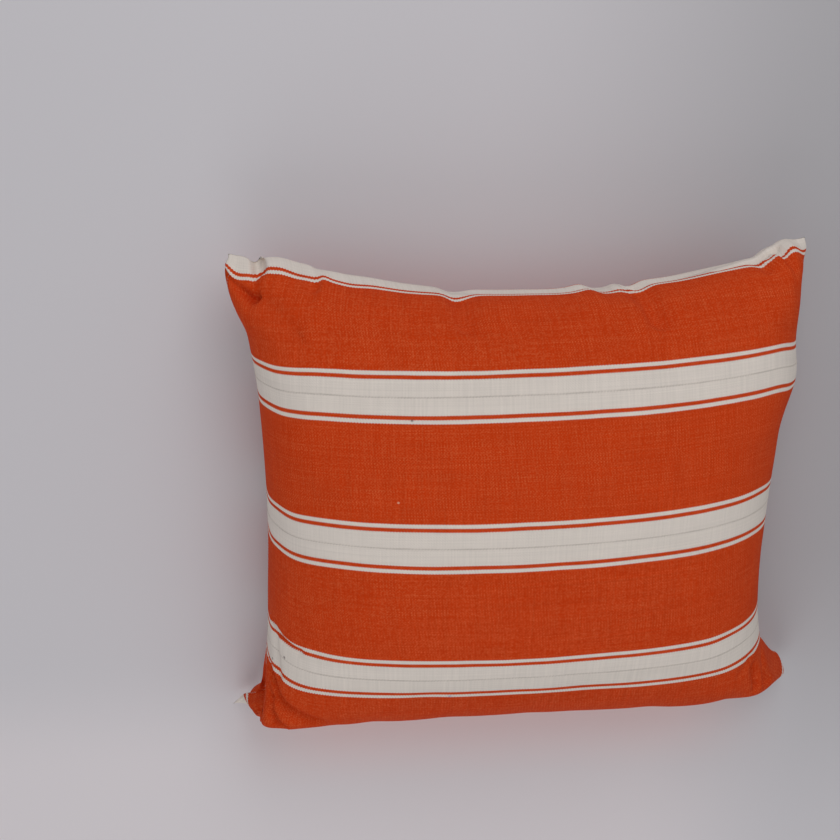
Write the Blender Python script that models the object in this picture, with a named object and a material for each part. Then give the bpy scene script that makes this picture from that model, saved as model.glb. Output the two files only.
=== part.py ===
"""A square filled cushion, lying on its back with its striped face up.

The cover is four narrow hand-woven strips, joined edge to edge across the face.  The same cloth
folds over at the head and at the foot of the cushion, and two side seams close it into a bag.
The filling crowns the face, the side seams draw in between the corners, and the four corners,
where the filling does not reach, stand out as flat ears.

Units are metres.  X runs to the right across the face, Y up the face from foot to head, and Z up
from the surface that the cushion lies on.  The origin is on that surface, under its middle.
"""
import math

import bmesh
import bpy
import numpy as np

# The cover, measured flat
STRIP_WIDTH = 0.150
STRIPS = 4
COVER_SIDE = STRIP_WIDTH * STRIPS
HALF_COVER = COVER_SIDE / 2

# The filled form
SEAM_HEIGHT = 0.082
FACE_CROWN = 0.135
BACK_CROWN = 0.130
BACK_HEAD_FULLNESS = 1.20
CROWN_LEAN = 0.027
FACE_CURL = 0.98
SIDE_FULLNESS = 0.38
HEAD_FULLNESS = 0.73
FOOT_FULLNESS = 0.65
CONTACT_ROUNDING = 0.008

# Half widths up each side: at the head, at the waist and at the foot, and how late it widens
WAIST = -0.33
LEFT_SIDE = {"head": 0.279, "waist": 0.250, "foot": 0.308, "draw": 2.3}
RIGHT_SIDE = {"head": 0.300, "waist": 0.257, "foot": 0.306, "draw": 1.45}
FOOT_FLARE = 3.6

# Where the cloth folds over, in the middle and at the corners, and how much it slants
HEAD_FOLD = {"middle": 0.213, "corner": 0.259, "power": 2.15, "slant": 0.003}
FOOT_FOLD = {"middle": -0.234, "corner": -0.260, "power": 2.3, "slant": 0.002}

# Ears: the corner in shares of the cover, how far its tip is moved, and how far up the seams the
# pull is felt.  Away from the seams it dies off sooner, so the filled face rolls over the ear.
# Round the tip the two layers lie flat together, and the seam beside it may stand out a little.
EARS = [
    {"across": -1, "up": 1, "shift": (-0.002, -0.004, 0.000), "reach": 0.090,
     "flat": (0.085, 0.050), "spread": 0.012, "spread_reach": 0.075},
    {"across": 1, "up": 1, "shift": (-0.008, -0.008, -0.004), "reach": 0.090,
     "flat": (0.030, 0.030), "spread": 0.0, "spread_reach": 0.050},
    {"across": -1, "up": -1, "shift": (0.017, 0.005, -0.068), "reach": 0.150,
     "flat": (0.020, 0.020), "spread": 0.0, "spread_reach": 0.050},
    {"across": 1, "up": -1, "shift": (0.012, 0.005, -0.066), "reach": 0.150,
     "flat": (0.010, 0.010), "spread": 0.0, "spread_reach": 0.050},
]
EAR_PINCH = 0.75
EAR_ROUNDING = 0.006
EAR_FLATNESS = 0.88
FLATNESS_EDGE = 3
SPREAD_EDGE = 6
SPREAD_BY_SEAM = 8

# Across the cover: how much further up the fold at the head and the edge of the first stripe lie,
# how far down the face each of the two is felt, and how far that stripe lies from the fold
HEAD_EDGE = [
    (-0.300, 0.000, 0.000), (-0.282, 0.004, -0.001), (-0.272, 0.003, -0.001), (-0.266, 0.001, -0.002),
    (-0.258, 0.006, 0.005), (-0.246, 0.009, 0.005), (-0.222, 0.009, 0.001), (-0.210, 0.009, 0.002),
    (-0.200, 0.008, 0.007), (-0.190, 0.007, 0.003), (-0.178, 0.006, 0.001), (-0.150, 0.005, 0.001),
    (-0.120, 0.002, -0.001), (-0.085, -0.001, -0.002), (-0.050, -0.007, -0.002), (0.000, -0.009, -0.003),
    (0.050, -0.010, -0.004), (0.085, -0.010, -0.004), (0.107, -0.012, -0.004), (0.130, -0.010, -0.004),
    (0.150, -0.010, -0.003), (0.200, -0.005, -0.002), (0.222, -0.004, -0.003), (0.236, -0.003, -0.006),
    (0.244, -0.001, 0.001), (0.252, 0.002, 0.004), (0.258, 0.004, -0.003), (0.265, 0.006, 0.001),
    (0.274, 0.007, 0.004), (0.287, 0.003, 0.003), (0.300, 0.000, 0.003),
]
FOLD_REACH = 0.013
EDGE_REACH = 0.060
EDGE_GAP = 0.0255

# Where the filling or a fold draws the cover, both its layers alike: place, reach and shift
PULLS = [
    {"at": (-0.300, 0.300), "reach": (0.020, 0.020), "shift": (0.010, -0.003, 0.000)},
    {"at": (-0.300, 0.278), "reach": (0.009, 0.022), "shift": (-0.001, 0.008, 0.000)},
    {"at": (-0.300, 0.190), "reach": (0.060, 0.040), "shift": (-0.002, 0.000, 0.000)},
    {"at": (-0.300, 0.150), "reach": (0.080, 0.060), "shift": (0.000, 0.008, 0.000)},
    {"at": (-0.300, -0.130), "reach": (0.060, 0.080), "shift": (-0.003, 0.000, 0.000)},
    {"at": (0.300, 0.283), "reach": (0.030, 0.018), "shift": (0.006, 0.000, 0.000)},
    {"at": (0.300, 0.245), "reach": (0.040, 0.025), "shift": (-0.004, 0.000, 0.000)},
    {"at": (0.300, 0.132), "reach": (0.060, 0.035), "shift": (0.011, 0.000, 0.000)},
    {"at": (0.300, 0.150), "reach": (0.140, 0.080), "shift": (0.000, 0.003, 0.000)},
    {"at": (0.180, -0.150), "reach": (0.090, 0.080), "shift": (0.000, -0.003, 0.000)},
    {"at": (0.300, -0.180), "reach": (0.050, 0.040), "shift": (0.004, 0.000, 0.000)},
    {"at": (0.300, -0.230), "reach": (0.030, 0.030), "shift": (0.007, 0.005, 0.000)},
    {"at": (0.300, -0.262), "reach": (0.026, 0.020), "shift": (0.006, 0.003, 0.000)},
    {"at": (0.285, -0.290), "reach": (0.020, 0.020), "shift": (0.003, -0.003, 0.000)},
    {"at": (0.240, -0.270), "reach": (0.050, 0.050), "shift": (0.000, 0.010, 0.000)},
    {"at": (-0.300, -0.250), "reach": (0.040, 0.030), "shift": (0.004, -0.005, 0.000)},
    {"at": (-0.285, -0.275), "reach": (0.022, 0.022), "shift": (0.000, -0.005, 0.000)},
    {"at": (-0.250, -0.280), "reach": (0.050, 0.040), "shift": (0.000, 0.004, 0.000)},
]

# Soft creases in the cloth: both ends from the middle of the cover, depth and width.
# A place past half the cover's side, up or down, lies over the fold on the back.
CREASES = [
    {"name": "head tuck, left", "start": (-0.261, 0.283), "end": (-0.268, 0.340),
     "depth": 0.008, "width": 0.010},
    {"name": "head notch, middle", "start": (-0.062, 0.240), "end": (-0.070, 0.320),
     "depth": 0.008, "width": 0.013},
    {"name": "head dimple, right", "start": (0.110, 0.226), "end": (0.101, 0.315),
     "depth": 0.008, "width": 0.014},
    {"name": "head step, right", "start": (0.235, 0.264), "end": (0.242, 0.325),
     "depth": 0.004, "width": 0.010},
    {"name": "corner crease, left", "start": (-0.285, 0.263), "end": (-0.240, 0.228),
     "depth": 0.005, "width": 0.011},
    {"name": "corner fold, left", "start": (-0.240, 0.230), "end": (-0.204, 0.192),
     "depth": 0.004, "width": 0.014},
    {"name": "foot valley, left", "start": (-0.270, -0.182), "end": (-0.205, -0.223),
     "depth": 0.006, "width": 0.011},
    {"name": "foot roll, left", "start": (-0.290, -0.246), "end": (-0.264, -0.246),
     "depth": 0.009, "width": 0.011},
    {"name": "foot crease, right", "start": (0.236, -0.178), "end": (0.244, -0.226),
     "depth": 0.004, "width": 0.011},
]
# Where the cushion is thinner than this, its creases are shallower in proportion
CREASE_NEEDS = 0.060
LEAST_CREASE = 0.35

# Mesh fineness, and how much closer the cells are at the seams and folds than in the middle
CELLS_ACROSS = 48
CELLS_UP = 48
EDGE_CLOSENESS = 0.45
RAW_STEPS = 160
WELD_DISTANCE = 0.00005

ORANGE_COTTON = (0.45, 0.045, 0.010, 1.0)


def clear_scene():
    """Remove the objects that the file opens with."""
    for thing in list(bpy.data.objects):
        bpy.data.objects.remove(thing, do_unlink=True)


def side_half_width(side, rise):
    """Half width at a height up the face: fullest at the corners, drawn in at the waist."""
    above = np.clip((rise - WAIST) / (1 - WAIST), 0, 1)
    below = np.clip((WAIST - rise) / (1 + WAIST), 0, 1)
    upper = side["waist"] + (side["head"] - side["waist"]) * above ** side["draw"]
    return upper + (side["foot"] - side["waist"]) * below ** FOOT_FLARE


def fold_line(fold, across):
    """Height up the face of a fold, which sags between the corners."""
    sag = (fold["corner"] - fold["middle"]) * np.abs(across) ** fold["power"]
    return fold["middle"] + sag + fold["slant"] * across


def raw_panel(crown, direction):
    """Points of one panel by angle across and angle up, not yet spread like cloth."""
    angle = np.linspace(-math.pi / 2, math.pi / 2, RAW_STEPS + 1)[None, :]
    across = np.sin(angle).T
    rise = np.sin(angle)
    half = np.where(across < 0, side_half_width(LEFT_SIDE, rise), side_half_width(RIGHT_SIDE, rise))
    x = half * np.sin(across * FACE_CURL) / math.sin(FACE_CURL)
    head = fold_line(HEAD_FOLD, across)
    foot = fold_line(FOOT_FOLD, across)
    y = (head + foot) / 2 + (head - foot) / 2 * rise
    head_fullness = HEAD_FULLNESS if direction > 0 else BACK_HEAD_FULLNESS
    side_curve = (np.cos(across * FACE_CURL) - math.cos(FACE_CURL)) / (1 - math.cos(FACE_CURL))
    end_curve = np.clip(np.cos(angle), 0, 1) ** np.where(angle > 0, head_fullness, FOOT_FULLNESS)
    swell = np.clip(side_curve, 0, 1) ** SIDE_FULLNESS * end_curve
    for ear in EARS:
        corner_x = ear["across"] * np.abs(x).max()
        corner_y = HEAD_FOLD["corner"] if ear["up"] > 0 else FOOT_FOLD["corner"]
        gap = np.hypot((x - corner_x) / ear["flat"][0], (y - corner_y) / ear["flat"][1])
        swell = swell * (1 - EAR_FLATNESS * np.exp(-gap ** FLATNESS_EDGE))
        beside = np.exp(-(np.abs(y - corner_y) / ear["spread_reach"]) ** SPREAD_EDGE)
        by_seam = np.clip(across * ear["across"], 0, 1) ** SPREAD_BY_SEAM
        x = x + ear["across"] * ear["spread"] * beside * by_seam
    z = SEAM_HEIGHT + direction * crown * swell * (1 - CROWN_LEAN * rise)
    return np.stack([x, y + 0 * x, z + 0 * x], axis=-1)


def cell_shares(cells):
    """Where the cell lines cross a side of the cover, from 0 to 1, closer together near its ends."""
    even = np.linspace(0.0, 1.0, cells + 1)
    return even - EDGE_CLOSENESS * np.sin(2 * math.pi * even) / (2 * math.pi)


def along_thread(line, shares):
    """Points at the given shares of the length of a line of points, as threads lie in cloth."""
    steps = np.linalg.norm(np.diff(line, axis=0), axis=1)
    run = np.concatenate([[0.0], np.cumsum(steps)])
    return np.stack([np.interp(shares * run[-1], run, line[:, k]) for k in range(3)], axis=-1)


def smooth_table(rows, column, across):
    """A column of a table by its first column, with soft turns between the rows."""
    places = np.array([row[0] for row in rows])
    values = np.array([row[column] for row in rows])
    spot = np.clip(np.searchsorted(places, across) - 1, 0, len(places) - 2)
    share = np.clip((across - places[spot]) / (places[spot + 1] - places[spot]), 0, 1)
    slopes = np.gradient(values, places)
    step = places[spot + 1] - places[spot]
    leave = (1 - share) ** 2 * (values[spot] * (1 + 2 * share) + slopes[spot] * step * share)
    arrive = share ** 2 * (values[spot + 1] * (3 - 2 * share) + slopes[spot + 1] * step * (share - 1))
    return leave + arrive


def head_edge_rise(cloth_x, cloth_y):
    """How much further up the face the cloth lies near the fold at the head."""
    gap = HALF_COVER - cloth_y
    fold_rise = smooth_table(HEAD_EDGE, 1, cloth_x)
    edge_rise = smooth_table(HEAD_EDGE, 2, cloth_x)
    near_at_edge = math.exp(-(EDGE_GAP / FOLD_REACH) ** 2)
    far_at_edge = math.exp(-(EDGE_GAP / EDGE_REACH) ** 2)
    far = (edge_rise - near_at_edge * fold_rise) / (far_at_edge - near_at_edge)
    near = fold_rise - far
    return near * np.exp(-(gap / FOLD_REACH) ** 2) + far * np.exp(-(gap / EDGE_REACH) ** 2)


def cover_shift(cloth_x, cloth_y):
    """How far the head's edge, the pulls and the ears carry each point of the cover."""
    moved = np.zeros(cloth_x.shape + (3,))
    moved[..., 1] = head_edge_rise(cloth_x, cloth_y)
    for pull in PULLS:
        across = (cloth_x - pull["at"][0]) / pull["reach"][0]
        up = (cloth_y - pull["at"][1]) / pull["reach"][1]
        moved += np.exp(-across ** 2 - up ** 2)[..., None] * np.array(pull["shift"])
    for ear in EARS:
        gap_across = np.hypot(cloth_x - ear["across"] * HALF_COVER, EAR_ROUNDING) / ear["reach"]
        gap_up = np.hypot(cloth_y - ear["up"] * HALF_COVER, EAR_ROUNDING) / ear["reach"]
        gap = (gap_across ** EAR_PINCH + gap_up ** EAR_PINCH) ** (1 / EAR_PINCH)
        follow = np.clip(1 - gap ** 2, 0, 1) ** 2
        moved += follow[..., None] * np.array(ear["shift"])
    return moved


def crease_depth(cloth_x, cloth_y):
    """Depth of the soft creases at each point of the cover."""
    depth = np.zeros(cloth_x.shape)
    for crease in CREASES:
        start = np.array(crease["start"])
        along = np.array(crease["end"]) - start
        share = ((cloth_x - start[0]) * along[0] + (cloth_y - start[1]) * along[1]) / (along @ along)
        held = np.clip(share, 0, 1)
        gap = np.hypot(cloth_x - start[0] - held * along[0], cloth_y - start[1] - held * along[1])
        depth += crease["depth"] * np.exp(-(gap / crease["width"]) ** 2)
    return depth


def rest_on_surface(height):
    """Flatten what would sink below the surface, with a small rounding where contact begins."""
    rounded = (height + CONTACT_ROUNDING) ** 2 / (4 * CONTACT_ROUNDING)
    lifted = np.where(height < CONTACT_ROUNDING, rounded, height)
    return np.where(height < -CONTACT_ROUNDING, 0.0, lifted)


def panel_points(crown, direction):
    """One panel's points by cell, with the cloth spread evenly and its ears moved."""
    raw = raw_panel(crown, direction)
    columns = np.stack([along_thread(column, cell_shares(CELLS_UP)) for column in raw], axis=0)
    rows = [along_thread(columns[:, j], cell_shares(CELLS_ACROSS)) for j in range(CELLS_UP + 1)]
    points = np.stack(rows, axis=1)
    return points + cover_shift(*cloth_places())


def cloth_places():
    """Where each crossing of the cells lies on the flat cover."""
    across = COVER_SIDE * cell_shares(CELLS_ACROSS) - HALF_COVER
    up = COVER_SIDE * cell_shares(CELLS_UP) - HALF_COVER
    return np.meshgrid(across, up, indexing="ij")


def add_panel(mesh, points, direction, crease_layer, filling):
    """Add one panel to the mesh as a grid laid on its points."""
    cloth_x, cloth_y = cloth_places()
    if direction < 0:
        cloth_y = np.where(cloth_y > 0, COVER_SIDE - cloth_y, -COVER_SIDE - cloth_y)
    depth = crease_depth(cloth_x, cloth_y) * filling
    grid = bmesh.ops.create_grid(mesh, x_segments=CELLS_ACROSS, y_segments=CELLS_UP, size=1.0)
    split_cells(faces_in_order(grid["verts"]))
    for vert in grid["verts"]:
        i = round((vert.co.x + 1) / 2 * CELLS_ACROSS)
        j = round((vert.co.y + 1) / 2 * CELLS_UP)
        vert.co = points[i, j]
        vert[crease_layer] = depth[i, j]
    if direction < 0:
        bmesh.ops.reverse_faces(mesh, faces=faces_in_order(grid["verts"]))


def faces_in_order(panel_verts):
    """The faces of one panel, each once and always in the same order."""
    return list(dict.fromkeys(face for vert in panel_verts for face in vert.link_faces))


def split_cells(cells):
    """Split every cell from the side of the nearest corner inwards.  Both panels are split alike, so
    they stay apart up to the tips of the ears."""
    for cell in cells:
        middle = cell.calc_center_median()
        towards_corner = [vert.co.x * np.sign(middle.x) + vert.co.y * np.sign(middle.y) for vert in cell.verts]
        outer = cell.verts[int(np.argmax(towards_corner))]
        inner = cell.verts[int(np.argmin(towards_corner))]
        bmesh.utils.face_split(cell, outer, inner)


def centre_on_box(mesh):
    """Move the solid so that the origin lies under the middle of its box."""
    middle_x = (max(vert.co.x for vert in mesh.verts) + min(vert.co.x for vert in mesh.verts)) / 2
    middle_y = (max(vert.co.y for vert in mesh.verts) + min(vert.co.y for vert in mesh.verts)) / 2
    bmesh.ops.translate(mesh, verts=mesh.verts, vec=(-middle_x, -middle_y, 0.0))


def build_cushion(collection):
    """The filled cover as one closed solid."""
    mesh = bmesh.new()
    crease_layer = mesh.verts.layers.float.new("crease")
    face_points = panel_points(FACE_CROWN, 1)
    back_points = panel_points(BACK_CROWN, -1)
    thickness = np.linalg.norm(face_points - back_points, axis=-1)
    filling = np.clip(thickness / CREASE_NEEDS, LEAST_CREASE, 1)
    # The panels meet at the two folds, so a fold takes the filling of the row of cells beside it
    filling[:, [0, -1]] = filling[:, [1, -2]]
    add_panel(mesh, face_points, 1, crease_layer, filling)
    add_panel(mesh, back_points, -1, crease_layer, filling)
    bmesh.ops.remove_doubles(mesh, verts=mesh.verts, dist=WELD_DISTANCE)
    mesh.normal_update()
    for vert in mesh.verts:
        vert.co -= vert.normal * vert[crease_layer]
        vert.co.z = float(rest_on_surface(np.float64(vert.co.z)))
    mesh.verts.layers.float.remove(crease_layer)
    centre_on_box(mesh)
    data = bpy.data.meshes.new("cushion")
    mesh.to_mesh(data)
    mesh.free()
    data.shade_smooth()
    cushion = bpy.data.objects.new("cushion", data)
    cushion.data.materials.append(woven_cotton())
    collection.objects.link(cushion)
    return cushion


def woven_cotton():
    """Plain stand-in for the striped cotton, in the colour that covers most of it."""
    material = bpy.data.materials.new("orange_cotton")
    material.use_nodes = True
    shader = material.node_tree.nodes["Principled BSDF"]
    shader.inputs["Base Color"].default_value = ORANGE_COTTON
    shader.inputs["Roughness"].default_value = 0.9
    shader.inputs["Metallic"].default_value = 0.0
    return material


clear_scene()
parts = bpy.data.collections.new("striped_cushion")
bpy.context.scene.collection.children.link(parts)
build_cushion(parts)
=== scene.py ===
"""The looks of a striped cotton cushion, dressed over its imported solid.

The cushion lies on its back with its face up.  Units are metres: X runs to the right across the
face, Y up the face from its foot to its head, and Z up from the floor.
"""
import math

import bpy
import numpy as np
from mathutils import Matrix, Vector


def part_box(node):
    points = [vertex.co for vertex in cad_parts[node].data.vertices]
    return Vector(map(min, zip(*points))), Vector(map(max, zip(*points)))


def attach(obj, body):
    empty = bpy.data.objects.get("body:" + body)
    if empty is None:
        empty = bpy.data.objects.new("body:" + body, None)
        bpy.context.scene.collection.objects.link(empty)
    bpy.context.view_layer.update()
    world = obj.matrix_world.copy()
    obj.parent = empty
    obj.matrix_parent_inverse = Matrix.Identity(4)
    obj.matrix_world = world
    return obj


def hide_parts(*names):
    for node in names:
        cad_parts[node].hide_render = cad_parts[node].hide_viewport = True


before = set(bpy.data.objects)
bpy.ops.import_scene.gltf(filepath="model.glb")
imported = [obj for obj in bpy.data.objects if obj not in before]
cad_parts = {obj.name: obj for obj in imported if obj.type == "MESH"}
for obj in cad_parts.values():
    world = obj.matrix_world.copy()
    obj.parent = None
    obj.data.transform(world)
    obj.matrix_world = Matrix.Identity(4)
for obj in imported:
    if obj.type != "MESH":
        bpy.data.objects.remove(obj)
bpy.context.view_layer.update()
solid_low, solid_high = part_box("cushion")

# The cover's filled form
# Four hand-woven cotton strips, sewn edge to edge, make the face, and the same cloth goes on over a
# fold at the head and one at the foot as the back.  Two side seams close it round a soft filling,
# which crowns the face, and the corners that the filling does not reach stand out as flat ears.
STRIP_WIDTH = 0.150
COVER_SIDE = 4 * STRIP_WIDTH
HALF_COVER = COVER_SIDE / 2
SEAM_HEIGHT = 0.082
FACE_CROWN = 0.135
BACK_CROWN = 0.130
BACK_HEAD_FULLNESS = 1.20
CROWN_LEAN = 0.027
FACE_CURL = 0.98
SIDE_FULLNESS = 0.38
HEAD_FULLNESS = 0.73
FOOT_FULLNESS = 0.65
CONTACT_ROUNDING = 0.008
WAIST = -0.33
LEFT_SIDE = {"head": 0.279, "waist": 0.250, "foot": 0.308, "draw": 2.3}
RIGHT_SIDE = {"head": 0.300, "waist": 0.257, "foot": 0.306, "draw": 1.45}
FOOT_FLARE = 3.6
HEAD_FOLD = {"middle": 0.213, "corner": 0.259, "power": 2.15, "slant": 0.003}
FOOT_FOLD = {"middle": -0.234, "corner": -0.260, "power": 2.3, "slant": 0.002}
# The ears: how far each tip is carried and how far in that reaches, how large its flat part is, and
# how far the side seam beside it spreads
EARS = [
    {"across": -1, "up": 1, "shift": (-0.002, -0.004, 0.000), "reach": 0.090,
     "flat": (0.085, 0.050), "spread": 0.012, "spread_reach": 0.075},
    {"across": 1, "up": 1, "shift": (-0.008, -0.008, -0.004), "reach": 0.090,
     "flat": (0.030, 0.030), "spread": 0.0, "spread_reach": 0.050},
    {"across": -1, "up": -1, "shift": (0.017, 0.005, -0.068), "reach": 0.150,
     "flat": (0.020, 0.020), "spread": 0.0, "spread_reach": 0.050},
    {"across": 1, "up": -1, "shift": (0.012, 0.005, -0.066), "reach": 0.150,
     "flat": (0.010, 0.010), "spread": 0.0, "spread_reach": 0.050},
]
EAR_PINCH = 0.75
EAR_ROUNDING = 0.006
EAR_FLATNESS = 0.88
FLATNESS_EDGE = 3
SPREAD_EDGE = 6
SPREAD_BY_SEAM = 8
# Along the head, by the place across the flat cover: how much further up the fold lies there, and how
# much further up the edge of the broad orange field
HEAD_EDGE = [
    (-0.300, 0.000, 0.000), (-0.282, 0.004, -0.001), (-0.272, 0.003, -0.001), (-0.266, 0.001, -0.002),
    (-0.258, 0.006, 0.005), (-0.246, 0.009, 0.005), (-0.222, 0.009, 0.001), (-0.210, 0.009, 0.002),
    (-0.200, 0.008, 0.007), (-0.190, 0.007, 0.003), (-0.178, 0.006, 0.001), (-0.150, 0.005, 0.001),
    (-0.120, 0.002, -0.001), (-0.085, -0.001, -0.002), (-0.050, -0.007, -0.002), (0.000, -0.009, -0.003),
    (0.048, -0.010, -0.003), (0.062, -0.010, -0.001), (0.076, -0.009, -0.006), (0.087, -0.008, -0.006),
    (0.096, -0.003, -0.003), (0.104, -0.006, -0.001), (0.112, -0.016, -0.004), (0.128, -0.011, -0.003),
    (0.150, -0.010, -0.003), (0.200, -0.005, -0.002), (0.222, -0.004, -0.003), (0.236, -0.003, -0.005),
    (0.244, -0.001, -0.003), (0.252, 0.002, 0.001), (0.259, 0.004, -0.003), (0.265, 0.006, 0.001),
    (0.274, 0.007, 0.004), (0.287, 0.003, 0.003), (0.300, 0.000, 0.003),
]
FOLD_REACH = 0.013
EDGE_REACH = 0.060
FIELD_FROM_FOLD = 0.0255
# Where the filling or a fold draws the cover, both its layers alike
PULLS = [
    {"at": (-0.300, 0.300), "reach": (0.020, 0.020), "shift": (0.010, -0.003, 0.000)},
    {"at": (-0.300, 0.278), "reach": (0.009, 0.022), "shift": (-0.001, 0.008, 0.000)},
    {"at": (-0.300, 0.190), "reach": (0.060, 0.040), "shift": (-0.002, 0.000, 0.000)},
    {"at": (-0.300, 0.150), "reach": (0.080, 0.060), "shift": (0.000, 0.008, 0.000)},
    {"at": (-0.300, -0.130), "reach": (0.060, 0.080), "shift": (-0.003, 0.000, 0.000)},
    {"at": (0.300, 0.283), "reach": (0.030, 0.018), "shift": (0.006, 0.000, 0.000)},
    {"at": (0.300, 0.245), "reach": (0.040, 0.025), "shift": (-0.004, 0.000, 0.000)},
    {"at": (0.300, 0.132), "reach": (0.060, 0.035), "shift": (0.011, 0.000, 0.000)},
    {"at": (0.300, 0.150), "reach": (0.140, 0.080), "shift": (0.000, 0.003, 0.000)},
    {"at": (0.180, -0.150), "reach": (0.090, 0.080), "shift": (0.000, -0.003, 0.000)},
    {"at": (0.300, -0.180), "reach": (0.050, 0.040), "shift": (0.004, 0.000, 0.000)},
    {"at": (0.300, -0.230), "reach": (0.030, 0.030), "shift": (0.007, 0.005, 0.000)},
    {"at": (0.300, -0.262), "reach": (0.026, 0.020), "shift": (0.006, 0.003, 0.000)},
    {"at": (0.285, -0.290), "reach": (0.020, 0.020), "shift": (0.003, -0.003, 0.000)},
    {"at": (0.240, -0.270), "reach": (0.050, 0.050), "shift": (0.000, 0.010, 0.000)},
    {"at": (-0.300, -0.250), "reach": (0.040, 0.030), "shift": (0.004, -0.005, 0.000)},
    {"at": (-0.285, -0.275), "reach": (0.022, 0.022), "shift": (0.000, -0.005, 0.000)},
    {"at": (-0.250, -0.280), "reach": (0.050, 0.040), "shift": (0.000, 0.004, 0.000)},
    {"at": (-0.263, 0.292), "reach": (0.0050, 0.014), "shift": (0.003, 0.000, -0.016)},
    {"at": (-0.300, -0.228), "reach": (0.030, 0.018), "shift": (0.006, 0.000, 0.000)},
    {"at": (-0.300, -0.280), "reach": (0.016, 0.014), "shift": (0.000, 0.005, 0.000)},
    {"at": (-0.278, -0.300), "reach": (0.014, 0.014), "shift": (0.000, -0.004, 0.000)},
    {"at": (0.300, -0.278), "reach": (0.020, 0.018), "shift": (0.003, 0.006, 0.000)},
    {"at": (0.300, -0.250), "reach": (0.020, 0.014), "shift": (0.002, -0.003, 0.000)},
    {"at": (0.285, -0.300), "reach": (0.016, 0.014), "shift": (-0.002, 0.003, 0.000)},
    {"at": (-0.278, -0.256), "reach": (0.007, 0.022), "shift": (0.002, 0.000, -0.014)},
    {"at": (0.249, 0.284), "reach": (0.005, 0.006), "shift": (0.000, -0.004, 0.000)},
    {"at": (0.264, 0.284), "reach": (0.005, 0.006), "shift": (0.000, -0.005, 0.000)},
    {"at": (-0.262, -0.300), "reach": (0.014, 0.016), "shift": (0.000, 0.004, 0.000)},
    {"at": (-0.235, -0.300), "reach": (0.025, 0.020), "shift": (0.000, 0.003, 0.000)},
]
CELLS = 220
EDGE_CLOSENESS = 0.45
RAW_STEPS = 400


def side_half_width(side, rise):
    """Half width at a height up the face: fullest at the corners, drawn in at the waist."""
    above = np.clip((rise - WAIST) / (1 - WAIST), 0, 1)
    below = np.clip((WAIST - rise) / (1 + WAIST), 0, 1)
    upper = side["waist"] + (side["head"] - side["waist"]) * above ** side["draw"]
    return upper + (side["foot"] - side["waist"]) * below ** FOOT_FLARE


def fold_line(fold, across):
    """Height up the face of a fold, which sags between the corners."""
    sag = (fold["corner"] - fold["middle"]) * np.abs(across) ** fold["power"]
    return fold["middle"] + sag + fold["slant"] * across


def raw_panel(crown, direction):
    """Points of one panel by angle across and angle up, not yet spread like cloth."""
    angle = np.linspace(-math.pi / 2, math.pi / 2, RAW_STEPS + 1)[None, :]
    across = np.sin(angle).T
    rise = np.sin(angle)
    half = np.where(across < 0, side_half_width(LEFT_SIDE, rise), side_half_width(RIGHT_SIDE, rise))
    x = half * np.sin(across * FACE_CURL) / math.sin(FACE_CURL)
    head = fold_line(HEAD_FOLD, across)
    foot = fold_line(FOOT_FOLD, across)
    y = (head + foot) / 2 + (head - foot) / 2 * rise
    head_fullness = HEAD_FULLNESS if direction > 0 else BACK_HEAD_FULLNESS
    side_curve = (np.cos(across * FACE_CURL) - math.cos(FACE_CURL)) / (1 - math.cos(FACE_CURL))
    end_curve = np.clip(np.cos(angle), 0, 1) ** np.where(angle > 0, head_fullness, FOOT_FULLNESS)
    swell = np.clip(side_curve, 0, 1) ** SIDE_FULLNESS * end_curve
    for ear in EARS:
        corner_x = ear["across"] * np.abs(x).max()
        corner_y = HEAD_FOLD["corner"] if ear["up"] > 0 else FOOT_FOLD["corner"]
        gap = np.hypot((x - corner_x) / ear["flat"][0], (y - corner_y) / ear["flat"][1])
        swell = swell * (1 - EAR_FLATNESS * np.exp(-gap ** FLATNESS_EDGE))
        beside = np.exp(-(np.abs(y - corner_y) / ear["spread_reach"]) ** SPREAD_EDGE)
        by_seam = np.clip(across * ear["across"], 0, 1) ** SPREAD_BY_SEAM
        x = x + ear["across"] * ear["spread"] * beside * by_seam
    z = SEAM_HEIGHT + direction * crown * swell * (1 - CROWN_LEAN * rise)
    return np.stack([x, y + 0 * x, z + 0 * x], axis=-1)


def cell_shares():
    """Where the cell lines cross a side of the cover, from 0 to 1, closer together near its ends."""
    even = np.linspace(0.0, 1.0, CELLS + 1)
    return even - EDGE_CLOSENESS * np.sin(2 * math.pi * even) / (2 * math.pi)


def along_thread(line, shares):
    """Points at the given shares of the length of a line of points, as threads lie in cloth."""
    steps = np.linalg.norm(np.diff(line, axis=0), axis=1)
    run = np.concatenate([[0.0], np.cumsum(steps)])
    return np.stack([np.interp(shares * run[-1], run, line[:, k]) for k in range(3)], axis=-1)


def smooth_table(rows, column, across):
    """A column of a table by its first column, with soft turns between the rows."""
    places = np.array([row[0] for row in rows])
    values = np.array([row[column] for row in rows])
    spot = np.clip(np.searchsorted(places, across) - 1, 0, len(places) - 2)
    share = np.clip((across - places[spot]) / (places[spot + 1] - places[spot]), 0, 1)
    slopes = np.gradient(values, places)
    step = places[spot + 1] - places[spot]
    leave = (1 - share) ** 2 * (values[spot] * (1 + 2 * share) + slopes[spot] * step * share)
    arrive = share ** 2 * (values[spot + 1] * (3 - 2 * share) + slopes[spot + 1] * step * (share - 1))
    return leave + arrive


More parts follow.
